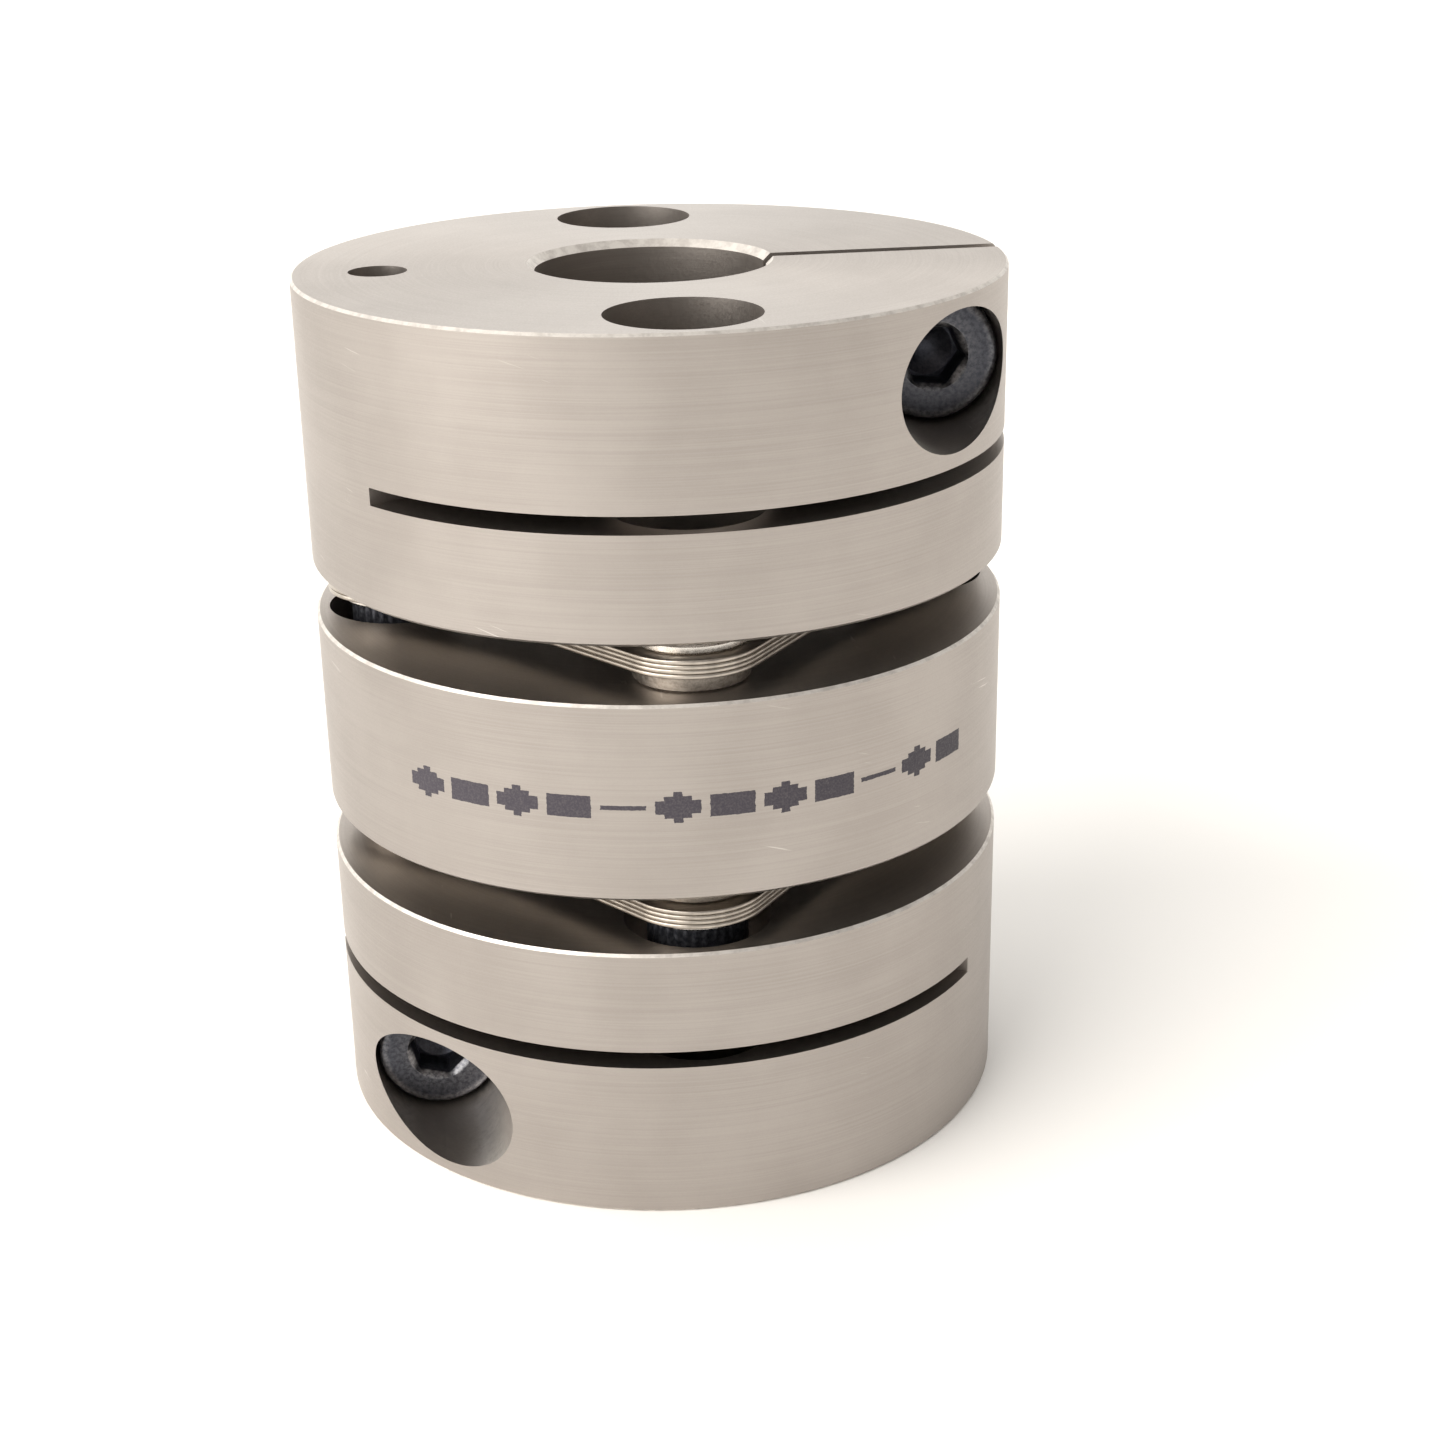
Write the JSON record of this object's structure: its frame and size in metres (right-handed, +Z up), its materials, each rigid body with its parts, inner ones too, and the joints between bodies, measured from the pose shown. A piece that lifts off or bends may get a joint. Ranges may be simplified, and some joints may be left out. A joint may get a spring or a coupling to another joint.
{
  "type": "disc coupling",
  "caption": "Double-flex disc coupling for servo shafts: clamp hubs, centre spacer and laminated spring-steel disc packs.",
  "frame": {"origin": "centre of the lower hub's end face", "axes": "+Z up the shaft line, -Y towards the clamp screws' heads, +X towards the upper hub's clamp screw"},
  "size_m": [0.039, 0.039, 0.0482],
  "materials": {
    "turned_aluminium": "satin turned",
    "spring_steel": "cold-rolled, punched edges",
    "collar_steel": "turned",
    "washer_steel": "zinc plated",
    "clamp_screw_black": "black oxide",
    "disc_screw_black": "black oxide"
  },
  "bodies": {
    "lower_hub": {"lower_hub": "turned_aluminium", "lower_hub_collar_left": "collar_steel", "lower_hub_collar_right": "collar_steel", "lower_hub_washer_left": "washer_steel", "lower_hub_washer_right": "washer_steel", "lower_hub_screw_left": "disc_screw_black", "lower_hub_screw_right": "disc_screw_black"},
    "lower_pack": {"lower_lamination_1": "spring_steel", "lower_lamination_2": "spring_steel", "lower_lamination_3": "spring_steel", "lower_lamination_4": "spring_steel"},
    "lower_clamp_screw": {"lower_clamp_screw": "clamp_screw_black"},
    "upper_hub": {"upper_hub": "turned_aluminium", "upper_hub_collar_left": "collar_steel", "upper_hub_collar_right": "collar_steel", "upper_hub_washer_left": "washer_steel", "upper_hub_washer_right": "washer_steel", "upper_hub_screw_left": "disc_screw_black", "upper_hub_screw_right": "disc_screw_black"},
    "upper_pack": {"upper_lamination_1": "spring_steel", "upper_lamination_2": "spring_steel", "upper_lamination_3": "spring_steel", "upper_lamination_4": "spring_steel"},
    "upper_clamp_screw": {"upper_clamp_screw": "clamp_screw_black"},
    "spacer": {"spacer": "turned_aluminium", "lower_spacer_collar_front": "collar_steel", "lower_spacer_collar_back": "collar_steel", "lower_spacer_washer_front": "washer_steel", "lower_spacer_washer_back": "washer_steel", "lower_spacer_screw_front": "disc_screw_black", "lower_spacer_screw_back": "disc_screw_black", "upper_spacer_collar_front": "collar_steel", "upper_spacer_collar_back": "collar_steel", "upper_spacer_washer_front": "washer_steel", "upper_spacer_washer_back": "washer_steel", "upper_spacer_screw_front": "disc_screw_black", "upper_spacer_screw_back": "disc_screw_black"}
  },
  "joints": [
    {"name": "lower_hub_flex", "type": "hinge", "parent": "lower_hub", "child": "lower_pack", "pos_m": [0, 0, 0.01716], "axis": [1, 0, 0], "range_deg": [-1, 1], "stiffness_Nm_per_rad": 0.5, "deforming": ["lower_lamination_1", "lower_lamination_2", "lower_lamination_3", "lower_lamination_4"]},
    {"name": "lower_spacer_flex", "type": "hinge", "parent": "lower_pack", "child": "spacer", "pos_m": [0, 0, 0.01716], "axis": [0, 1, 0], "range_deg": [-1, 1], "stiffness_Nm_per_rad": 0.5, "deforming": ["lower_lamination_1", "lower_lamination_2", "lower_lamination_3", "lower_lamination_4"]},
    {"name": "upper_spacer_flex", "type": "hinge", "parent": "spacer", "child": "upper_pack", "pos_m": [0, 0, 0.03104], "axis": [0, 1, 0], "range_deg": [-1, 1], "stiffness_Nm_per_rad": 0.5, "deforming": ["upper_lamination_1", "upper_lamination_2", "upper_lamination_3", "upper_lamination_4"]},
    {"name": "upper_hub_flex", "type": "hinge", "parent": "upper_pack", "child": "upper_hub", "pos_m": [0, 0, 0.03104], "axis": [1, 0, 0], "range_deg": [-1, 1], "stiffness_Nm_per_rad": 0.5, "deforming": ["upper_lamination_1", "upper_lamination_2", "upper_lamination_3", "upper_lamination_4"]},
    {"name": "lower_clamp_screw_turn", "type": "hinge", "parent": "lower_hub", "child": "lower_clamp_screw", "pos_m": [-0.0143, -0.0073, 0.00445], "axis": [0, -1, 0], "continuous": true},
    {"name": "upper_clamp_screw_turn", "type": "hinge", "parent": "upper_hub", "child": "upper_clamp_screw", "pos_m": [0.0143, -0.0073, 0.04375], "axis": [0, -1, 0], "continuous": true}
  ]
}
